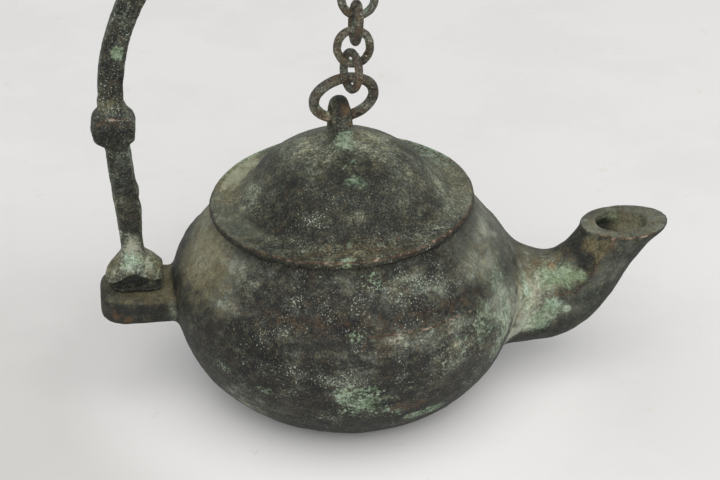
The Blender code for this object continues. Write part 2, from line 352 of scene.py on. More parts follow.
class Paint:
    """Builds the nodes of one material."""

    def __init__(self, name):
        self.material = bpy.data.materials.new(name)
        self.material.use_nodes = True
        self.nodes = self.material.node_tree.nodes
        self.links = self.material.node_tree.links
        self.shader = self.nodes["Principled BSDF"]
        self.place = self.node("TexCoord").outputs["Object"]

    def node(self, kind, **settings):
        return given(self.nodes.new("ShaderNode" + kind), settings)

    def feed(self, socket, value):
        if isinstance(value, bpy.types.NodeSocket):
            self.links.new(value, socket)
        else:
            socket.default_value = value

    def shade(self, name, value):
        self.feed(self.shader.inputs[name], value)

    def field(self, name):
        return self.node("Attribute", attribute_name=name).outputs["Fac"]

    def noise(self, size, detail=2.0, rough=0.5, shift=0.0, stretch=(1, 1, 1), warp=0.0):
        """Noise from 0 to 1 with grains about this many millimetres across."""
        mapping = self.node("Mapping")
        self.links.new(self.place, mapping.inputs["Vector"])
        mapping.inputs["Location"].default_value = (shift, -shift, 2 * shift)
        mapping.inputs["Scale"].default_value = [1 / s for s in stretch]
        node = self.node("TexNoise")
        self.links.new(mapping.outputs[0], node.inputs["Vector"])
        node.inputs["Scale"].default_value = 1 / (2 * size * MM)
        node.inputs["Detail"].default_value = detail
        node.inputs["Roughness"].default_value = rough
        node.inputs["Distortion"].default_value = warp
        return self.step(node.outputs["Fac"], 0.3, 0.7, 'LINEAR')

    def step(self, value, low, high, kind='SMOOTHSTEP'):
        node = self.node("MapRange", interpolation_type=kind)
        for key, entry in (("Value", value), ("From Min", low), ("From Max", high)):
            self.feed(node.inputs[key], entry)
        return node.outputs["Result"]

    def math(self, operation, first, second=0.0):
        node = self.node("Math", operation=operation)
        self.feed(node.inputs[0], first)
        self.feed(node.inputs[1], second)
        return node.outputs[0]

    def times(self, first, second):
        return self.math('MULTIPLY', first, second)

    def plus(self, first, second):
        return self.math('ADD', first, second)

    def minus(self, first, second):
        return self.math('SUBTRACT', first, second)

    def total(self, *terms):
        """The sum of sockets, each times its weight."""
        result = None
        for socket, weight in terms:
            part = self.times(socket, weight)
            result = part if result is None else self.plus(result, part)
        return result

    def mix(self, factor, first, second, blend='MIX'):
        node = self.node("Mix", data_type='RGBA', blend_type=blend)
        for socket, value in zip((node.inputs[0], node.inputs[6], node.inputs[7]),
                                 (factor, first, second)):
            self.feed(socket, value)
        return node.outputs[2]

    def coat(self, under, mask, weight, over, blend='MIX'):
        """One colour laid over another where the mask calls for it, at most this strongly."""
        return self.mix(self.times(mask, weight), under, over, blend)

    def ramp(self, value, *stops):
        """Runs through colours. A stop is its place from 0 to 1 and its colour's code."""
        node = self.node("ValToRGB")
        elements = node.color_ramp.elements
        while len(elements) < len(stops):
            elements.new(0.5)
        for element, (place, *code) in zip(elements, stops):
            element.position = place
            element.color = tone(*code)
        self.links.new(value, node.inputs["Fac"])
        return node.outputs["Color"]

    def patch(self, cover, texture, soft=0.12):
        """A ragged mask that covers about this share of the surface."""
        return self.step(self.plus(cover, texture), 1 - soft, 1 + soft)

    def near(self, place, edge, core):
        """1 within core metres of a place and 0 beyond edge metres."""
        node = self.node("VectorMath", operation='DISTANCE')
        self.links.new(self.place, node.inputs[0])
        node.inputs[1].default_value = place
        return self.step(node.outputs["Value"], edge, core)

    def bump(self, height, distance, before=None):
        node = self.node("Bump")
        node.inputs["Distance"].default_value = distance * MM
        self.links.new(height, node.inputs["Height"])
        if before is not None:
            self.links.new(before, node.inputs["Normal"])
        return node.outputs["Normal"]


def mottled(paint, shades, streak, warm, middle, fine, smooth):
    """How light each place of the bare ground is, and its colour."""
    broad = paint.noise(6, 3, 0.6, warp=0.5)
    bands = paint.noise(1.2, 4, 0.7, 0.47, (7, 7, 1))
    grains = paint.total((broad, 0.18), (middle, 0.36), (fine, 0.46 - streak), (bands, streak))
    quiet = paint.times(paint.minus(grains, 0.5), paint.minus(1.0, smooth))
    # The crust field lightens the ground: pale crust, and painted light where lit or shaded places
    # are made lighter
    light = paint.plus(0.5, paint.total((quiet, 1.0), (paint.field("crust"), 0.34)))
    places = (0.22, 0.42, 0.58, 0.78, 1.0)
    colour = paint.ramp(light, *[(place, *shade) for place, shade in zip(places, shades)])
    warmth = paint.times(paint.step(paint.noise(4.0, 3, 0.65, 0.77), 0.45, 0.85),
                         paint.minus(warm, paint.times(smooth, warm)))
    return light, paint.mix(warmth, colour, (1.32, 1.0, 0.72, 1), 'MULTIPLY')


def verdigris_coat(paint, dust, fine, smooth):
    """Where the verdigris lies and its colour: ragged patches, soft where the surface is smooth."""
    ragged = paint.total((paint.noise(1.5, 4, 0.7, 0.44), 0.42),
                         (paint.noise(0.4, 3, 0.75, 0.9), 0.58))
    soft = paint.times(smooth, 0.6)
    mask = paint.step(paint.plus(paint.field("verdigris"), ragged),
                      paint.minus(0.90, soft), paint.plus(1.10, soft))
    shade = paint.total((paint.noise(0.9, 4, 0.7, 0.66), 0.6), (fine, 0.4))
    calm = paint.minus(1.0, paint.times(smooth, 0.9))
    shade = paint.plus(0.5, paint.times(paint.minus(shade, 0.5), calm))
    greens = paint.ramp(shade, (0.15, 62, 72, 56), (0.40, 108, 122, 96),
                        (0.62, 134, 150, 124), (0.88, 190, 202, 184))
    white = paint.times(paint.field("crust"), paint.step(ragged, 0.35, 0.75))
    greens = paint.coat(greens, white, 0.6, tone(198, 208, 190))
    teal = paint.step(paint.noise(2.4, 2, 0.5, 0.88), 0.35, 0.7)
    greens = paint.mix(teal, greens, (0.91, 1.0, 1.0, 1), 'MULTIPLY')
    return mask, paint.mix(dust, greens, (1.06, 1.0, 0.86, 1), 'MULTIPLY')


def worn_lines(paint, second_line):
    """Where edges are rubbed down to the metal, and the metal's colour."""
    height = paint.times(paint.minus(paint.field("line"), 0.5), 2 * LINE_REACH)
    near = paint.math('MINIMUM', paint.math('ABSOLUTE', height),
                      paint.math('ABSOLUTE', paint.plus(height, second_line)))
    worn = paint.field("worn")
    mask = paint.times(paint.step(near, 0.30, 0.06),
                       paint.patch(worn, paint.noise(0.7, 3, 0.6, 0.29), 0.4))
    shine = paint.total((paint.noise(0.9, 2, 0.6, 0.57), 0.8), (worn, 0.2))
    return mask, paint.ramp(shine, (0.35, 54, 44, 36), (0.65, 94, 72, 56),
                            (0.92, 176, 156, 140))


def patina(name, shades, streak, warm, second_line=9.0):
    """Aged bronze: a mottled dark ground with fine pale speckle, then rust, ochre dust, verdigris,
    soot and painted shade, pale flecks and worn lines where the mesh's fields call for them; the
    crust field lightens the ground both with pale crust and with painted light. The shades run from
    the darkest pits to the palest crust. A second worn line lies this many millimetres below
    the first."""
    paint = Paint(name)
    smooth = paint.field("smooth")
    middle = paint.noise(1.4, 4, 0.7, 0.33)
    fine = paint.noise(0.26, 2, 0.7, 0.61)
    light, colour = mottled(paint, shades, streak, warm, middle, fine, smooth)

    rust = paint.patch(paint.field("rust"), paint.noise(0.8, 4, 0.7, 0.19), 0.35)
    orange = paint.mix(paint.step(paint.field("rust"), 0.7, 1.1), tone(90, 70, 50),
                       tone(146, 108, 66))
    colour = paint.coat(colour, rust, 0.75, orange)

    dust = paint.patch(paint.field("ochre"), paint.noise(1.1, 4, 0.75, 0.22), 0.6)
    dusty = paint.ramp(paint.total((fine, 0.6), (middle, 0.4)), (0.2, 88, 80, 54),
                       (0.8, 138, 128, 94))
    colour = paint.coat(colour, dust, 0.62, dusty)

    pits = paint.times(paint.step(paint.noise(0.5, 3, 0.7, 0.81), 0.36, 0.10),
                       paint.minus(1.0, smooth))
    colour = paint.coat(colour, pits, 0.55, (0.25, 0.24, 0.22, 1), 'MULTIPLY')

    strand = paint.math('ABSOLUTE', paint.minus(paint.noise(0.55, 4, 0.75, 0.35), 0.5))
    flecked = paint.total((paint.noise(2.8, 3, 0.7, 0.15), 0.7), (paint.field("fleck"), 0.7),
                          (smooth, -0.6))
    strands = paint.times(paint.step(strand, 0.10, 0.02), paint.step(flecked, 0.45, 0.85))
    colour = paint.coat(colour, strands, 0.5, tone(120, 127, 112))

    # Darkens where its field calls: dark deposits, and painted shade under overhangs, in recesses
    # and on faces turned down
    colour = paint.coat(colour, paint.field("soot"), 0.8, (0.30, 0.30, 0.31, 1), 'MULTIPLY')

    verdigris, greens = verdigris_coat(paint, dust, fine, smooth)
    colour = paint.coat(colour, verdigris, 0.88, greens)

    specks = paint.plus(paint.noise(0.2, 1, 0.5, 0.53), paint.times(flecked, 0.5))
    colour = paint.coat(colour, paint.step(specks, 0.98, 1.14), 0.45, tone(112, 119, 104))
    colour = paint.coat(colour, paint.step(specks, 1.14, 1.30), 0.7, tone(172, 178, 162))

    worn, copper = worn_lines(paint, second_line)
    colour = paint.coat(colour, worn, 0.75, copper)

    paint.shade("Base Color", colour)
    rough = paint.plus(0.52, paint.total((light, 0.18), (verdigris, 0.15), (dust, 0.12),
                                         (worn, -0.14)))
    paint.shade("Roughness", rough)
    paint.shade("Metallic", paint.times(worn, 0.5))
    paint.shade("Specular IOR Level", 0.28)
    normal = paint.bump(paint.noise(1.2, 4, 0.65, 0.7), 0.22)
    normal = paint.bump(fine, 0.12, normal)
    normal = paint.bump(verdigris, 0.10, normal)
    paint.shade("Normal", normal)
    return paint.material


# ---------------- bowl, spout and lug

def neck_lift(x, height):
    """How far the neck's rim rises towards the spout, so that the lid lies level on it."""
    share = (height - NECK_FOOT) / (NECK_HEIGHT - NECK_FOOT)
    return math.tan(LID_TILT) * x * min(max(share, 0.0), 1.0)


def bowl_outline(steps):
    return smooth_curve([(21.5, 0.0), (24.8, 1.0), (31.2, 4.8), (37.3, 11.6), (40.9, 19.8),
                         (BELLY, 28.3), (41.4, 33.7), (39.3, 37.4), (36.4, 41.0), (33.9, 44.2),
                         (31.5, 46.3), (30.2, 48.0), (NECK, NECK_HEIGHT)], steps)


# Stations of the spout: centre x and z, lean of the section from upright in degrees,
# half height and half width.
SPOUT_STATIONS = [
    (33.0, 23.1, 0, 14.3, 17.0),
    (39.0, 22.5, 0, 13.1, 14.4),
    (44.5, 21.5, 2, 11.5, 12.0),
    (50.0, 20.9, 9, 10.5, 10.5),
    (55.4, 22.6, 26, 9.7, 9.7),
    (59.7, 26.8, 44, 8.6, 8.7),
    (63.4, 32.6, 58, 7.7, 8.0),
    (66.3, 36.6, 79, 8.4, 8.1),
    (67.9, 38.5, 90, MOUTH_HALF_LENGTH - 0.3, MOUTH_HALF_WIDTH),
    (MOUTH_X, MOUTH_HEIGHT - 0.4, 92, MOUTH_HALF_LENGTH, MOUTH_HALF_WIDTH),
    (MOUTH_X, MOUTH_HEIGHT, 92, MOUTH_HALF_LENGTH - 0.4, MOUTH_HALF_WIDTH - 0.4),
]


def spout_ring(x, z, lean, half_height, half_width, shift=0.0, sides=56):
    """One section of the spout: an oval, shifted sideways where asked."""
    lean = math.radians(lean)
    up = Vector((-math.sin(lean), 0, math.cos(lean)))
    ring = []
    for angle in turns(sides):
        side = half_width * math.sin(angle) + shift
        ring.append(Vector((x, side, z)) + half_height * math.cos(angle) * up)
    return ring


def spout_skin():
    return tube([spout_ring(*station, MOUTH_SHIFT * float(ease(station[0], 60, 67)))
                 for station in [*smooth_curve(SPOUT_STATIONS[:-2], 8), *SPOUT_STATIONS[-2:]]])


def spout_channel():
    inner = [(x, z, lean, half_height - SPOUT_WALL, half_width - SPOUT_WALL)
             for x, z, lean, half_height, half_width in SPOUT_STATIONS[:7]]
    inner[0] = (30.0, 22.0, 0, 11.5, 11.5)
    hole = [(66.2, 36.4, 78, 6.0, 5.2),
            (67.6, 38.0, 92, WICK_HALF_LENGTH, WICK_HALF_WIDTH),
            (WICK_X, MOUTH_HEIGHT + 1.5, 92, WICK_HALF_LENGTH + 1.2, WICK_HALF_WIDTH + 1.4)]
    return tube([spout_ring(*station, WICK_SHIFT * float(ease(station[0], 60, 66)))
                 for station in smooth_curve(inner + hole, 4)])


def lug_plate():
    """A flat plate with rounded outer corners, its root inside the bowl's wall."""
    root, end = 1.5 - BELLY, body_low.x - 0.4
    outline = [(root, -LUG_HALF_WIDTH), (root, LUG_HALF_WIDTH)]
    for side, first in ((1, 90), (-1, 180)):
        for step in range(13):
            angle = math.radians(first + 7.5 * step)
            outline.append((end + LUG_CORNER + LUG_CORNER * math.cos(angle),
                            side * (LUG_HALF_WIDTH - LUG_CORNER) + LUG_CORNER * math.sin(angle)))
    rings = []
    for height, inset in ((0, 0.7), (0.2, 0.3), (0.7, 0), (LUG_THICKNESS - 0.7, 0),
                          (LUG_THICKNESS - 0.2, 0.3), (LUG_THICKNESS, 0.7)):
        shrink = 1 - inset / LUG_HALF_WIDTH
        rings.append([(x + (inset if x < root else 0), y * shrink,
                       LUG_TOP - LUG_THICKNESS + height) for x, y in outline])
    return tube(rings)


def near_bowl(points):
    """How far each point stands out of the turned bowl."""
    outline = bowl_outline(6)
    radius = np.interp(points[:, 2], [p.y for p in outline], [p.x for p in outline])
    return np.hypot(points[:, 0], points[:, 1]) - radius


def near_spout(points):
    """How far each point stands out of the spout's round sections."""
    centres = smooth_curve(SPOUT_STATIONS[:-3], 8)
    best = np.full(len(points), 99.0)
    for x, z, _, half_height, half_width in centres:
        away = np.linalg.norm(points - np.array((x, 0, z)), axis=1) - (half_height + half_width) / 2
        best = np.minimum(best, away)
    return best


def seam_height(points):
    """Height of the mould's joint line, which dips a little to each side."""
    sideways = np.abs(degrees_round(points))
    return SEAM_HEIGHT - 0.004 * sideways + 0.25 * grain(points, 9, 1, 2.0)


def from_wick(points, margin):
    """Distance from the wick hole's axis: 1 on an oval this far outside the hole's edge."""
    return np.hypot((points[:, 0] - WICK_X) / (WICK_HALF_LENGTH + margin),
                    (points[:, 1] - WICK_SHIFT) / (WICK_HALF_WIDTH + margin))


def spout_rise(points):
    """How far each point lies above the spout's centre line, square to it, and that line's X."""
    stations = np.array(smooth_curve(SPOUT_STATIONS[1:-3], 12))
    centres, leans = stations[:, :2], np.radians(stations[:, 2])
    flat = points[:, [0, 2]]
    nearest = np.array([np.argmin(((centres - p) ** 2).sum(1)) for p in flat])
    ups = np.stack([-np.sin(leans), np.cos(leans)], axis=1)
    return ((flat - centres[nearest]) * ups[nearest]).sum(1), centres[nearest][:, 0]


def bowl_cavity():
    outline = bowl_outline(2)
    inner = []
    for before, point, after in zip(outline, outline[1:], outline[2:]):
        along = (after - before).normalized()
        inner.append((point.x - WALL * along.y, point.y + WALL * along.x))
    inner = [point for point in inner[:-2] if point[1] > WALL + 0.3]
    mouth = NECK - WALL
    profile = [(0, WALL), (inner[0][0] - 1.5, WALL), *inner, (mouth, NECK_HEIGHT - 2),
               (mouth, NECK_HEIGHT + 4), (0, NECK_HEIGHT + 4)]
    return turned(profile, 96, neck_lift)


def body_mesh():
    outline = [(p.x, p.y) for p in bowl_outline(8)]
    bowl = turned([(0, 0), *outline, (0, NECK_HEIGHT)], 180, neck_lift)
    mesh = fused(mesh_of("bowl", [bowl, spout_skin(), lug_plate()]), BOWL_VOXEL)
    relax(mesh, 0.4, 3)
    points = points_of(mesh)
    x, y, z = points.T
    out_of_bowl = np.abs(near_bowl(points))
    root = np.maximum(out_of_bowl, np.abs(near_spout(points)))
    at_lug = ((x < -36) & (np.abs(y) < LUG_HALF_WIDTH + 2)
              & (np.abs(z - LUG_TOP + LUG_THICKNESS / 2) < 5))
    relax(mesh, 0.6 * at_lug * ease(out_of_bowl, 2.0, 0.4), 12)
    relax(mesh, 0.5 * ease(root, 5.5, 1.5), 130)
    x, y, z = points_of(mesh).T
    relax(mesh, 0.5 * ease(x, 53, 55.5) * ease(z, 34, 36.5), 14)
    roughen_body(mesh)
    return cut(mesh, mesh_of("hollow", [bowl_cavity()]))


def roughen_body(mesh):
    """The cast surface, the raised seam, the spout's crease and the dished rim of its mouth."""
    points = points_of(mesh)
    x, y, z = points.T
    seat = ease(z, LUG_TOP - 0.8, LUG_TOP - 0.2) * ease(x, -42, -45)
    still = np.maximum(seat, ease(z, 1.2, 0.2))
    amount = 0.30 * grain(points, 24, 2, 3.3) + 0.10 * grain(points, 6, 3, 8.1)
    amount += 0.05 * grain(points, 1.6, 2, 5.5)
    above = z - seam_height(points)
    ridge = np.exp(-(above / 0.6) ** 2) - 1.3 * np.exp(-((above - 1.9) / 1.2) ** 2)
    strength = 0.16 + 0.14 * ease(np.abs(degrees_round(points) - 22), 40, 10)
    amount += ridge * strength * ease(x, 47, 38) * ease(x, -47, -41)
    over_crease = spout_rise(points)[0] - CREASE_RISE
    sides = ease(x, 50, 53) * ease(y, -4, -6) * ease(z, LIP_LINE + 0.6, LIP_LINE - 0.2)
    crease = np.exp(-(over_crease / 0.5) ** 2)
    upper = ease(over_crease, 0, 1.2) * ease(over_crease, 5, 3)
    amount += sides * (0.45 * crease - 0.45 * upper * (1 + 0.8 * grain(points, 2.6, 2, 6.4)))
    spout_belly = ((48, -5, 11.4), (9, 9, 5), 0.75)
    amount += spots(points, [(PALE_SPOT, (1.1, 1.6, 1.1), 0.3), spout_belly])
    push(mesh, amount * (1 - still))
    points = points_of(mesh)
    points[:, 0] += 0.6 * ease(points[:, 0], 66, 77)
    dish = ease(from_wick(points, 1.2), 1.35, 0.8) * ease(points[:, 2], LIP_LINE, LIP_LINE + 0.5)
    points[:, 2] -= 0.35 * dish
    move_points(mesh, points)


# Patches on the bowl, the spout and the lug, each with its centre, its radii and its strength
BOWL_VERDIGRIS = [
    ((-1.4, -41, 21.2), (7.4, 5, 8.2), 0.56),
    ((-4.8, -41.3, 22.2), (3.4, 4, 4.4), 0.66),
    ((3.4, -39.6, 18), (4, 4, 3), 0.5),
    ((8.5, -38.5, 15.5), (4, 4, 2.4), 0.42),
    ((15.1, -34.4, 12.2), (8, 5, 2.4), 0.62),
    ((4, -30.9, 46.3), (8, 4, 3), 0.42),
    ((16, -30.1, 44), (8, 5, 3), 0.36),
    ((28, -30.5, 32), (6, 6, 6.5), 0.5),
    ((33.5, -25, 26), (6, 7, 10), 0.5),
    ((35, -22, 38), (5, 7, 6), 0.35),
    ((-1.6, -39.3, 36.5), (3, 3, 3), 0.5),
    ((20, -36, 28.5), (9, 6, 7), 0.40),
    ((22, -33.5, 36), (5, 5, 4), 0.3),
    ((-31.9, -26.7, 23), (4, 5, 3), 0.45),
    ((-22.8, -34.2, 20.8), (3, 3, 2), 0.45),
    ((48.6, -6.8, 28.8), (4.4, 5, 3.4), 0.66),
    ((52.8, -6.6, 29), (4.2, 4, 3.6), 0.70),
    ((55.8, -7.6, 29.2), (2.4, 3, 1.8), 0.75),
    ((45.4, -11.5, 20), (4.6, 4, 3.4), 0.8),
    ((48.9, -10.9, 22.4), (3.2, 3, 3), 0.8),
    ((41.5, -11, 27.5), (3, 4, 5), 0.6),
    ((63.6, 4.2, 37.2), (2, 2.4, 1.4), 0.6),
    ((66.4, 5.6, 37.2), (2.6, 2, 1.4), 0.55),
    (PALE_SPOT, (0.8, 1.2, 0.8), 1.1),
    ((-42, -8, 25.5), (1.4, 4, 4), 0.35),
    ((38, 15, 27), (6, 8, 8), 0.55),
    ((-10, 40, 24), (9, 6, 7), 0.55),
    ((12, 36, 38), (9, 6, 5), 0.5),
]
BOWL_OCHRE = [
    ((-35, -10, 42.5), (9, 16, 8), 1),
    ((51.5, -6.8, 29.3), (7, 5, 3.5), 0.6),
    ((-33, 8, 43), (9, 12, 5), 0.6),
    ((68, 0, 39.6), (13, 11, 1.5), 0.6),
    ((46, -5, 31), (9, 8, 5), 0.6),
    ((40, -12, 26), (5, 6, 10), 0.5),
    ((-46, 0, 30.4), (12, 12, 1.2), 0.9),
    ((58.7, -4.7, 36.4), (2, 2.2, 2), 1.4),
    ((61.8, -7.1, 37), (2, 2, 2), 1.3),
    ((60.8, -7.3, 34.4), (1.8, 2, 1.8), 1.3),
    ((68, 2, 36), (8, 7, 3.4), 1.2),
    ((46, 0, 33), (9, 9, 3), 0.45),
    ((28, -18, 43), (9, 9, 4), 0.35),
]
# Pale crust, and painted light that lifts shaded places: the down-facing skin round the spout's
# root, the bowl beside the spout, the left shoulder and the inside of the wick hole
BOWL_CRUST_AND_LIGHT = [
    ((14, -33, 43), (18, 9, 6), 0.42),
    ((-4, -33.5, 43.5), (14, 8, 4), 0.2),
    ((28, -18, 43), (14, 14, 8), 0.85),
    ((-36, -8, 43), (8, 15, 8), 1.05),
    ((-35, -14, 37), (8, 10, 8), 0.4),
    ((-42, -7, 26.5), (1.6, 5, 5), 0.9),
    ((-38, -14, 32), (8, 14, 12), 0.3),
    ((-18.4, -35.1, 36.9), (5, 4, 1.5), 0.4),
    ((-15.9, -39.2, 29), (4, 4, 2.5), 0.4),
    ((-27, -27, 12), (14, 14, 8), 0.6),
    ((-5.5, -42, 27.7), (7, 4, 3), 0.35),
    ((-5.4, -41.5, 22.4), (3, 3, 4.2), 0.8),
    ((20, -37, 33), (15, 8, 10), 0.66),
    ((30, -29, 26), (8, 8, 10), 0.35),
    ((42.5, -10.5, 28), (5.5, 6, 7), 1.2),
    ((38, -16, 30), (4, 8, 11), 0.95),
    ((42, -12.5, 20), (4.5, 6, 7), 1.1),
    ((47, -9, 23), (9, 6, 8), 0.6),
    ((46, -4, 31.5), (9, 8, 4), 0.75),
    ((34, -24, 33), (8, 10, 15), 0.8),
    ((40.4, -12.3, 19), (1, 3, 3.8), 1.6),
    ((42.8, -11.9, 24.2), (1.1, 3, 2.4), 1.6),
    ((39, 12, 27), (5, 10, 9), 0.5),
    ((45.7, -7.9, 28.9), (0.9, 4, 3.2), 1.3),
    # Painted light inside the wick hole, lifting its shade
    ((68, 1, 36), (6, 5.5, 4), 1.9),
    ((-46, 0, 30.4), (14, 12, 1.2), 0.55),
]
BOWL_FLECK = [
    ((-18.4, -35.1, 36.9), (4, 4, 1.2), 0.6),
    ((-5.5, -42, 27.7), (7, 4, 2.5), 0.6),
    ((-15.9, -39.2, 29), (4, 4, 2.5), 0.6),
    ((-8.3, -37.7, 14.3), (2.5, 3, 1.2), 0.6),
    ((15.3, -30.1, 44.4), (6, 4, 2.5), 0.6),
    ((8, -33, 43), (16, 6, 4), 0.25),
    (PALE_SPOT, (0.9, 1.5, 0.9), 1.6),
    ((40.6, -12.3, 19), (1.2, 3, 4), 0.7),
]
BOWL_RUST = [
    ((-55.8, -9, 26.4), (1.8, 3, 1.5), 0.7),
    ((-52.6, -9, 25.6), (1.5, 2, 1.2), 0.65),
    ((49.9, -4.2, 30.4), (1.2, 1.8, 1.1), 1.4),
    ((45.6, -4.1, 31.5), (1.2, 1.5, 0.9), 0.7),
    ((49.8, -9.4, 25.6), (5, 2, 0.9), 0.45),
    ((63.6, -7.8, 37.2), (1.8, 1.5, 2.6), 0.85),
    ((58.7, -4.7, 36.4), (2.4, 2.4, 2.4), 0.45),
    ((60, -7.8, 32.4), (1.8, 1.5, 2.6), 0.25),
    ((9.8, -38, 17), (7, 5, 1.8), 0.62),
    ((4, -38, 35), (9, 4, 3), 0.3),
]
BOWL_SOOT_AND_SHADE = [
    ((57.6, -5.5, 33), (3, 4, 2.8), 0.6),
    ((60.5, -4, 37.6), (1.2, 4, 3), 0.2),
    ((57.5, 0, 34.5), (3, 5, 3), 0.5),
    # Painted shade on the belly's lower left, the side away from the light
    ((-27, -30, 24), (17, 14, 15), 0.4),
]
BOWL_WORN = [
    ((62, -7, LIP_LINE), (3.5, 3, 1.2), 1.9),
    ((70.5, -7.2, LIP_LINE), (5, 3, 1.2), 1.8),
    ((64, -8, 37), (2.5, 3, 3), 0.5),
    ((59.5, -8, 32), (5, 3, 6), 0.6),
]


def paint_body(mesh):
    points = points_of(mesh)
    x, y, z = points.T
    upwards = normals_of(mesh)[:, 2]
    angle = degrees_round(points)
    sideways = np.abs(angle)
    broad = grain(points, 9, 3, 1.1)
    on_spout = ease(near_bowl(points), 0.8, 3.0) * ease(x, 38, 41)
    rise, along = spout_rise(points)
    root = np.maximum(np.abs(near_bowl(points)), np.abs(near_spout(points)))
    above_seam = z - seam_height(points)
    # The groove just above the seam: where it darkens the skin, that is painted shade in the
    # recess; its rust is a brown band on the metal
    groove = np.exp(-((above_seam - 2.1) / 1.7) ** 2) * ease(np.abs(angle - 4), 62, 30)

    # The spout's plain underside, the flat of its mouth and painted shade in the corner below its
    # root
    hole = ease(from_wick(points, 0), 1.2, 1.0) * ease(z, 28, 31)
    under = on_spout * ease(rise, CREASE_RISE + 0.5, CREASE_RISE - 0.5) * (1 - hole)
    under *= ease(z, LIP_LINE + 0.5, LIP_LINE - 0.2)
    under *= 1 - ease(along, 51.5, 49.5) * ease(rise, -6, -3.5)
    mouth = ease(z, LIP_LINE + 0.1, LIP_LINE + 0.5) * ease(x, 55, 57)
    corner = spots(points, [((40, -11, 13.6), (5, 5, 3.2), 1)])

    rust = strongest(spots(points, BOWL_RUST), 0.36 * groove)
    fleck = spots(points, BOWL_FLECK) * (1 - groove)
    high = ease(z, 26, 36)
    smooth = strongest(0.8 * under, 0.6 * mouth, 0.35 * on_spout, 0.4 * ease(sideways, 50, 80),
                       0.65 * ease(angle, -38, -62) * high, 0.7 * ease(angle, 30, 55) * high)

    low = 0.9 * ease(z, 25, 8) * ease(x, 42, 36) * (1 - 0.6 * ease(sideways, 28, 55))
    # Painted shade on the lug's sides and underside, the faces not turned up
    lug_side = ease(x, -42.5, -43.5) * ease(upwards, 0.4, 0.1)
    soot = strongest(low, 0.26 * lug_side, 0.6 * groove, 0.7 * corner,
                     0.45 * under * ease(rise, -2, -8),
                     mouth * (0.6 + 0.2 * ease(y, 2, 6)),
                     0.16 * ease(z, 38, 26) * ease(x, 30, 10),
                     0.40 * ease(z, 31, 21) * ease(x, 16, 2),
                     # Painted shadow of the lid on the neck just below its rim
                     0.15 * ease(z, 44.5, 46.5) * ease(x, 50, 45),
                     spots(points, BOWL_SOOT_AND_SHADE))

    # Painted light: shoulders that face upwards are made lighter, as where light from above falls
    # on them
    lit_shoulders = 1.1 * ease(upwards, 0.15, 0.8) * ease(z, 34, 40)
    lit_shoulders *= 0.06 + 0.85 * ease(np.abs(angle - 5), 32, 62)
    # Pale deposit and painted light along the crease where the spout meets the bowl, lifting the
    # shade that gathers there
    junction = ease(root, 4.5, 1.5) * ease(x, 33, 37) * ease(z, 8, 12) * ease(rise, -9, -6.5)
    junction *= (0.85 + 0.7 * grain(points, 3, 3, 7.3)) * (1 - 0.6 * ease(y, -8, 4))
    crust = strongest(spots(points, BOWL_CRUST_AND_LIGHT), lit_shoulders) * (1 - 0.7 * groove)
    crust = strongest(crust, 1.8 * junction * ease(z, 37, 27), 0.9 * junction) * (1 - corner)

    # Worn lines along the seam, the mouth's lip and the spout's crease
    at_spout = x > 50
    from_line = np.where(at_spout, z - LIP_LINE, above_seam)
    from_crease = np.where(at_spout & (z < LIP_LINE + 0.2), rise - CREASE_RISE, 9)
    line = line_at(np.where(np.abs(from_crease) < np.abs(from_line), from_crease, from_line))
    along_seam = ease(np.abs(angle - 20), 24, 12) + 0.45 * ease(np.abs(angle - 20), 80, 20)
    worn = strongest(0.6 * along_seam * ease(x, 40, 36), spots(points, BOWL_WORN))

    # The plain underside keeps only this crust
    plane = under * (0.42 - 0.42 * ease(rise, -1, -6) + 0.5 * grain(points, 5, 3, 3.9))
    plane += spots(points, [(PALE_SPOT, (1, 1.4, 1), 1.3)])
    store(mesh, verdigris=spots(points, BOWL_VERDIGRIS) + 0.10 * broad * (1 - under),
          ochre=(spots(points, BOWL_OCHRE) + 0.08 * broad) * (1 - under),
          crust=(crust + 0.30 * broad) * (1 - under) + plane,
          rust=rust, fleck=fleck, soot=soot, smooth=smooth, worn=worn, line=line)


def make_body():
    mesh = cut(body_mesh(), mesh_of("bore", [spout_channel()]))
    points = points_of(mesh)
    rim = ease(np.abs(from_wick(points, 1) - 1), 0.35, 0.1)
    relax(mesh, 0.5 * rim * ease(points[:, 2], 36.5, 37.5), 6)
    paint_body(mesh)
    material = patina("bowl_patina", [(13, 13, 12), (27, 27, 25), (45, 46, 41),
                                      (88, 91, 81), (162, 168, 151)], 0.24, 0.38)
    add_piece("bowl_and_spout", mesh, material, ["lamp_body"])


# ---------------- lid

def dome(radius, height, low, high, steps):
    """Points of the dome's superellipse from the angle low to the angle high, in degrees."""
    points = []
    for step in range(steps + 1):
        angle = math.radians(low + (high - low) * step / steps)
        points.append((radius * max(math.cos(angle), 0.0) ** (2 / DOME_ROUND),
                       height * math.sin(angle) ** (2 / DOME_FLAT)))
    return points


def lid_eye():
    """An upright strap bent into an arch, so that its hole looks along X."""
    rings = []
    steps = 48
    for step in range(steps + 1):
        angle = math.pi * step / steps
        side, rise = math.cos(angle), math.sin(angle)
        thickness = EYE_HALF_THICKNESS + 0.75 * rise ** 3
        width = EYE_WIDTH / 2 + 0.7 * (1 - rise) ** 3 - 0.4 * rise ** 6
        reach = EYE_HALF_DEPTH - EYE_HALF_THICKNESS
        centre = Vector((0, math.copysign(abs(side) ** 0.75 * reach, side),
                         EYE_FOOT + (EYE_HEIGHT - 1.8 - EYE_FOOT) * rise ** 0.8))
        outward = Vector((0, side, rise * 0.9)).normalized()
        rings.append([centre + Vector((width * math.cos(turn), 0, 0))
                      + thickness * math.sin(turn) * outward for turn in turns(32)])
    points, faces = tube(rings)
    seat = Matrix.Translation((EYE_OFFSET, 0, 0)) @ Matrix.Rotation(EYE_TURN, 4, 'Z')
    return [tuple(seat @ Vector(point)) for point in points], faces


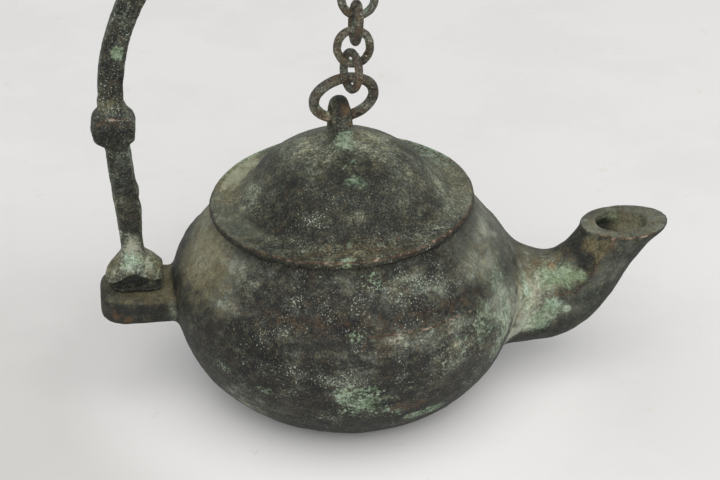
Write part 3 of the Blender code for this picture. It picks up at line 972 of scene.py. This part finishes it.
def lid_mesh():
    under = -LID_EDGE
    ring_inner = LOCATING_RADIUS - LOCATING_WALL
    outer = dome(DOME_RADIUS, DOME_HEIGHT, 90, 20, 40)
    flange = [tuple(p) for p in smooth_curve(
        [(20.9, 5), (22.2, 2.9), (23.8, 1.35), (25.6, 0.45), (27.8, 0), (30.4, 0.05),
         (31, -0.15)], 5)]
    rim = [(LID_RADIUS, -0.6), (LID_RADIUS, under + 0.5), (LID_RADIUS - 0.5, under)]
    skirt = [(LOCATING_RADIUS, under), (LOCATING_RADIUS - 0.3, under - LOCATING_DEPTH),
             (ring_inner, under - LOCATING_DEPTH), (ring_inner - 0.5, under + 0.6)]
    inner = dome(DOME_RADIUS - DOME_WALL, DOME_HEIGHT - DOME_WALL, 8, 90, 20)
    profile = [*outer, *[p for p in flange if p[0] > outer[-1][0]], *rim, *skirt, *inner]
    mesh = fused(mesh_of("lid", [turned(profile, 180), lid_eye()]), LID_VOXEL)
    relax(mesh, 0.4, 3)
    x, y, z = points_of(mesh).T
    eye_foot = ease(np.abs(z - DOME_HEIGHT + 0.3), 2.6, 0.8)
    eye_foot *= ease(np.hypot(x - EYE_OFFSET, y), 6.5, 5)
    relax(mesh, 0.5 * eye_foot, 22)
    points = points_of(mesh)
    amount = 0.16 * grain(points, 17, 2, 6.1) + 0.07 * grain(points, 5, 3, 9.3)
    amount += 0.035 * grain(points, 1.5, 2, 4.5)
    push(mesh, amount * ease(points[:, 2], under + 0.1, under + 0.8))
    return mesh


# Patches on the lid
LID_VERDIGRIS = [
    ((-0.4, -4.4, 67.6), (3.2, 2.4, 3.2), 0.62),
    ((0.8, -14.5, 62.5), (3.2, 2.6, 1.6), 0.52),
    ((0, -10, 64.5), (3, 2.6, 2), 0.36),
    ((-1.9, -24.6, 52.1), (1.4, 1.6, 1.5), 0.5),
    ((-3, -30.3, 51.2), (2.4, 1.8, 1.8), 0.6),
    ((24, 17, 52.3), (5, 9, 2), 0.45),
]
LID_OCHRE = [
    ((-26, 9, 50.7), (6, 12, 2), 0.85),
    ((-22, 16, 50.8), (6, 9, 2), 0.8),
    ((5.5, 0, 67), (6, 6, 3), 0.5),
    ((0, -27.5, 51.6), (24, 5, 2), 0.3),
    ((27, 0, 52.3), (4, 16, 2), 0.35),
]
# Pale crust, and painted light on the dome's top where light from above falls
LID_CRUST_AND_LIGHT = [
    ((0.3, -20.7, 56.8), (3, 3, 1.5), 0.5),
    ((0, -3.5, 72), (3, 3, 4), 0.3),
    ((-3, 0, 74), (1.2, 6, 5), 0.8),
    ((-8, -19.8, 56), (5, 3, 2), 0.3),
    ((-9, -1, 64.5), (11, 10, 6), 0.9),
    ((7, -1, 66), (9, 9, 6), 1.06),
    ((16, -8, 59), (9, 11, 7), 0.65),
    ((-20, -2, 56), (7, 14, 9), 0.45),
]
LID_FLECK = [
    ((0, -3.5, 70), (3, 3, 6), 0.6),
    ((0.5, -20.7, 56.8), (3.6, 2.5, 1.6), 0.8),
    ((-8.5, -19.8, 55.9), (4.5, 3, 1.6), 0.6),
    ((11.7, -17.3, 55.9), (3.5, 3, 1.6), 0.55),
    ((0, -18, 58), (14, 8, 5), 0.3),
]
LID_RUST = [
    ((-0.1, -2.8, 75.2), (1.5, 1.6, 2.2), 0.78),
    ((0.3, -2.6, 72), (2, 1.5, 3.5), 0.4),
    ((0, -26.5, 51.6), (20, 4, 2), 0.25),
]
LID_SOOT = [
    ((-2.2, -1.5, 75.3), (1.6, 3, 2.4), 0.9),
    ((-2.6, -3, 70), (1, 3, 4), 0.6),
    ((1, -12, 62), (8, 6, 3), 0.3),
]


def paint_lid(mesh, seat):
    """Patches are placed in the frame; the flange and its rim in the lid's own place."""
    local = points_of(mesh)
    points = local @ np.array(seat.to_3x3()).T + np.array(seat.translation)
    x, y, z = local.T
    out = np.hypot(x, y)
    angle = degrees_round(local)
    broad = grain(points, 9, 3, 2.1)
    verdigris = strongest(spots(points, LID_VERDIGRIS),
                          0.7 * ease(out, 28.8, 30.6) * ease(y, 8, 15))
    flange = ease(out, 23, 26)
    fillet = ease(np.abs(angle), 50, 80) * ease(out, 17.5, 21.5) * ease(out, 26.5, 24.5)
    cream = ease(np.abs(angle + 121), 25, 13) * flange * ease(out, 30.6, 28.8)
    cream = np.clip(cream * (0.9 + 0.5 * grain(points, 5, 3, 5.2)), 0, 1)
    edge = ease(out, 30.3, 30.9) * ease(z, -0.1, -0.6)
    # Painted light and reflection: the dome's back half, the dome's foot towards its sides and back
    # and the flange towards its sides and back are made lighter, besides the crust patches
    crust = strongest(spots(points, LID_CRUST_AND_LIGHT), 0.8 * ease(y, -3, 3) * ease(out, 24, 12),
                      0.85 * fillet, (0.3 + 0.48 * ease(np.abs(angle), 20, 70)) * flange,
                      1.9 * cream) * (1 - edge)
    rim = ease(out, 30.2, 31) * ease(z, -2.3, -0.4)
    worn = rim * (0.25 + 0.75 * ease(np.abs(angle - 14), 66, 36) + 0.3 * broad)
    # Painted shade on the lid's faces that turn downwards
    soot = strongest(0.6 * ease(normals_of(mesh)[:, 2], -0.2, -0.8), 0.7 * edge,
                     spots(points, LID_SOOT))
    smooth = strongest(0.6 * ease(angle, -25, -60) * ease(out, 22, 25), 0.75 * cream,
                       0.5 * ease(angle, 40, 70) * ease(out, 22, 25),
                       0.5 * ease(y, -6, 4), 0.3 * ease(out, 24, 22))
    store(mesh, verdigris=verdigris + 0.10 * broad,
          ochre=spots(points, LID_OCHRE) + 0.10 * broad, crust=crust + 0.2 * broad,
          rust=strongest(spots(points, LID_RUST), 0.3 * rim), fleck=spots(points, LID_FLECK),
          soot=soot, smooth=smooth, worn=worn, line=line_at(z + 0.25))


def make_lid():
    mesh = lid_mesh()
    seat = Matrix.Translation((LID_OFFSET, 0, LID_PLANE)) @ Matrix.Rotation(-LID_TILT, 4, 'Y')
    paint_lid(mesh, seat)
    mesh.transform(seat)
    material = patina("lid_patina", [(15, 15, 13), (29, 30, 26), (45, 47, 40),
                                     (86, 90, 77), (164, 171, 148)], 0.0, 0.4, 1.5)
    add_piece("lid_skin", mesh, material, ["lid"])


# ---------------- handle

def packed_mesh(node):
    """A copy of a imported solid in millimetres."""
    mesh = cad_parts[node].data.copy()
    mesh.transform(Matrix.Scale(1 / MM, 4))
    return edited(mesh, bmesh.ops.remove_doubles, "verts", dist=0.001)


def handle_front(mesh):
    """How squarely each point of the handle faces front, and how far it lies above the arched top
    of the foot's facet and above the worn edge that arches over the knop."""
    x, _, z = points_of(mesh).T
    front = ease(normals_of(mesh)[:, 1], -0.3, -0.7)
    facet_top = 33.5 + 2 * np.exp(-((x + 50.9) / 3) ** 2)
    knop_edge = KNOP_HEIGHT - 1.5 * np.abs((x + 52.7) / 4.4) ** 3
    return front, z - facet_top, z - knop_edge


ROD_BUMPS = [
    ((-48, -0.8, 56.4), (1.8, 2.4, 2.3), 0.7),
    ((-47.5, -0.8, 51.4), (1.8, 2.4, 2.3), 0.55),
]
FOOT_LOBES = [
    ((-43.8, -2, 38.8), (3.2, 5, 3), 1.6),
    ((-44.2, -2.5, 40.6), (2.4, 4.5, 1.8), 0.9),
    ((-56.6, -3, 36.6), (2.6, 5, 4.6), 1.2),
]


def handle_mesh():
    mesh = fused(packed_mesh("handle"), HANDLE_VOXEL)
    relax(mesh, 0.5 * ease(points_of(mesh)[:, 2], FOOT_BOTTOM, FOOT_BOTTOM + 1.5), 6)
    points = points_of(mesh)
    x, _, z = points.T
    rightwards = normals_of(mesh)[:, 0]
    front, over_facet, over_knop = handle_front(mesh)
    amount = 0.16 * grain(points, 9, 2, 1.7) + 0.10 * grain(points, 3.2, 3, 4.1)
    amount += 0.04 * grain(points, 1.2, 2, 7.5)
    amount += spots(points, ROD_BUMPS) + spots(points, FOOT_LOBES)
    amount += 0.35 * ease(rightwards, 0.3, 0.8) * ease(z, 44, 48)
    amount += 0.3 * ease(rightwards, -0.3, -0.8) * ease(np.abs(z - KNOP_HEIGHT), 5, 3)
    amount -= 0.6 * front * ease(over_facet, 0.3, -0.5) * ease(np.abs(x + 50.5), 7, 5)
    amount += 0.35 * front * ease(over_knop, 0.3, -0.3) * ease(z, 71, 72.5)
    push(mesh, amount * ease(z, FOOT_BOTTOM, FOOT_BOTTOM + 1))
    return mesh


# Patches on the handle
HANDLE_VERDIGRIS = [
    ((-50.8, -2.7, 91.9), (1.7, 1.6, 2.2), 0.8),
    ((-51, -3.4, 38.5), (3.6, 2.5, 3), 0.7),
    ((-46, -2.5, 37.5), (3, 3, 2), 0.45),
    ((-52.7, -2.7, 67), (3, 2, 2), 0.3),
]
HANDLE_OCHRE = [
    ((-45, 0, 37.5), (4, 7, 4), 0.8),
    ((-56, 0, 37.5), (3, 7, 4), 0.7),
    ((-53, 0, 79.5), (5, 6, 2.5), 0.5),
]
HANDLE_FLECK = [
    ((-52.7, -2.7, 66.5), (4, 3, 2.5), 0.35),
    ((-52, -2.7, 61), (4, 3, 1.5), 0.35),
]
HANDLE_CRUST = [
    ((-50.6, -3, 39.6), (3.6, 6, 5.5), 1.3),
    ((-48.5, 0, 38), (11, 9, 6), 0.95),
    ((-53, -2, 78.5), (9, 6, 3.5), 0.6),
]


def paint_handle(mesh):
    points = points_of(mesh)
    x, _, z = points.T
    front, over_facet, over_knop = handle_front(mesh)
    broad = grain(points, 7, 3, 4.4)
    soot = front * strongest(0.55 * ease(over_facet, 0.1, -0.6) * ease(x, -43.5, -45),
                             0.35 * ease(over_knop, 0.1, -0.4) * ease(z, 70.5, 72),
                             0.18 * ease(z, 44, 48))
    flanks = 0.6 * ease(np.abs(normals_of(mesh)[:, 0]), 0.25, 0.65)
    crust = strongest(spots(points, HANDLE_CRUST), flanks, 0.12,
                      0.8 * np.exp(-((over_facet - 0.4) / 0.4) ** 2) * front)
    crust += 0.7 * grain(points, 1.8, 2, 5.1).clip(0) * ease(z, 72, 69)
    crust -= (0.25 + 0.3 * broad.clip(0)) * ease(z, 78, 84)
    store(mesh, verdigris=spots(points, HANDLE_VERDIGRIS) + 0.12 * broad,
          ochre=spots(points, HANDLE_OCHRE),
          crust=(crust + 0.3 * broad) * (1 - 0.8 * (soot > 0.4)),
          rust=spots(points, [((-53, -4.6, 75), (6, 1.5, 0.6), 0.4)]), soot=soot,
          fleck=spots(points, HANDLE_FLECK) + 0.12 * broad + 0.1 * ease(z, 70, 80),
          smooth=0.3 * ease(z, 71, 68), line=line_at(over_knop),
          worn=spots(points, [((-53, -4.4, 75.2), (6, 2.2, 2.2), 0.8)]))


def make_handle():
    mesh = handle_mesh()
    paint_handle(mesh)
    material = patina("handle_patina", [(13, 14, 13), (25, 27, 24), (42, 44, 39),
                                        (84, 89, 77), (156, 162, 146)], 0.0, 0.3)
    add_piece("handle_skin", mesh, material, ["handle"])


# ---------------- chain

def wire_frame(node):
    """A packed ring's or link's centre, its own axes, and its length, width and wire."""
    points = points_of(packed_mesh(node))
    centre = points.mean(0)
    _, _, axes = np.linalg.svd(points - centre, full_matrices=False)
    if axes[0][2] < 0 and abs(axes[0][2]) > 0.5:
        axes[0] = -axes[0]
    axes[2] = np.cross(axes[0], axes[1])
    spans = [np.ptp(points @ axis) for axis in axes]
    return centre, axes, spans


def make_wire(node, name, material, seed, sides=72, round_sides=18):
    """An irregular closed ring of round wire, in the place of a packed one."""
    centre, axes, (length, width, wire) = wire_frame(node)
    half_length, half_width = (length - wire) / 2, (width - wire) / 2
    upward = np.array((0, 0, 1))
    rings = []
    for angle in turns(sides):
        u, v = math.cos(angle), math.sin(angle)
        wobble = 0.10 * noise.noise((2 * u, 2 * v, seed))
        thick = wire / 2 * (1.02 + 0.06 * noise.noise((3 * u, 3 * v, seed + 5)))
        middle = np.array((half_length * u + wobble * u, half_width * v + wobble * v, 0))
        outward = np.array((half_width * u, half_length * v, 0))
        outward /= np.linalg.norm(outward)
        section = [math.cos(turn) * outward + math.sin(turn) * upward
                   for turn in turns(round_sides)]
        rings.append([centre + (middle + thick * place) @ axes for place in section])
    points, faces = tube(rings + rings[:1])
    count = len(points) - round_sides
    faces = [tuple(k % count for k in face) for face in faces[2:]]
    mesh = mesh_of(name, [(points[:count], faces)])
    points = points_of(mesh)
    push(mesh, 0.04 * grain(points, 1.3, 2, seed))
    broad = grain(points, 3.5, 2, seed)
    inwards = centre - points
    inner = ease((inwards * normals_of(mesh)).sum(1) / np.linalg.norm(inwards, axis=1), 0.2, 0.7)
    store(mesh, verdigris=0.14 + 0.30 * broad + 0.3 * inner, crust=0.4 + 0.5 * broad + 0.3 * inner,
          rust=0.22 - 0.5 * broad, fleck=0.1 + 0.3 * broad)
    add_piece(name, mesh, material, [node])


def make_chain():
    material = patina("chain_patina", [(26, 24, 21), (44, 41, 36), (64, 61, 54),
                                       (100, 98, 88), (156, 156, 144)], 0.0, 0.7)
    make_wire("chain_ring", "ring_skin", material, 3.0, 120, 22)
    for number in range(1, 8):
        make_wire(f"chain_link_{number}", f"link_skin_{number}", material, 11.0 + number)


# ---------------- floor, light and camera

def make_stage():
    bpy.ops.mesh.primitive_plane_add(size=6, location=(0, 0, cad_box[0].z))
    floor = bpy.context.object
    floor.name = "floor"
    paint = Paint("pale_paper")
    cloudy = paint.step(paint.noise(30, 4, 0.6), 0.35, 0.75)
    colour = paint.mix(cloudy, (0.76, 0.75, 0.735, 1), (0.735, 0.725, 0.71, 1))
    # Painted shade: the floor is darker towards the left, as where the light falls off
    colour = paint.mix(paint.near((-0.16, -0.05, 0), 0.20, 0.03), colour,
                       (0.76, 0.745, 0.73, 1), 'MULTIPLY')
    # Painted light: a pale halo round the lamp's foot lifts the shadow it casts
    colour = paint.mix(paint.near((0, 0, 0), 0.075, 0.035), colour, (0.92, 0.91, 0.895, 1))
    stains = paint.step(paint.noise(2.6, 3, 0.6, 0.7, warp=0.6), 0.93, 1.05)
    colour = paint.coat(colour, stains, 0.35, tone(205, 202, 178))
    paint.shade("Base Color", colour)
    paint.shade("Roughness", 0.9)
    paint.shade("Specular IOR Level", 0.1)
    floor.data.materials.append(paint.material)


def face(thing, direction):
    thing.rotation_euler = direction.to_track_quat('-Z', 'Y').to_euler()


def add_light(name, place, **settings):
    light = placed(name, given(bpy.data.lights.new(name, 'AREA'), settings))
    light.data.shape = 'DISK'
    light.location = place
    face(light, Vector((0, 0, 0.03)) - light.location)


def make_light():
    world = bpy.data.worlds.new("studio")
    bpy.context.scene.world = world
    world.use_nodes = True
    background = world.node_tree.nodes["Background"]
    background.inputs["Color"].default_value = (0.97, 0.98, 1.0, 1)
    background.inputs["Strength"].default_value = 0.62
    add_light("key", (0.12, -0.55, 1.2), size=1.7, energy=10, color=(1.0, 0.99, 0.97))
    add_light("fill", (0, -1.5, 0.9), size=1.6, energy=9)


def make_camera():
    camera = placed("camera", bpy.data.cameras.new("camera"))
    given(camera.data, {"lens": 90, "sensor_width": 36, "clip_start": 0.01})
    camera.location = (-0.0388, -0.3695, 0.2593)
    face(camera, Vector((0.0975, 0.8545, -0.5103)))
    bpy.context.scene.camera = camera


def main():
    bpy.context.scene.view_settings.view_transform = 'Standard'
    make_body()
    make_lid()
    make_handle()
    make_chain()
    make_stage()
    make_light()
    make_camera()


main()
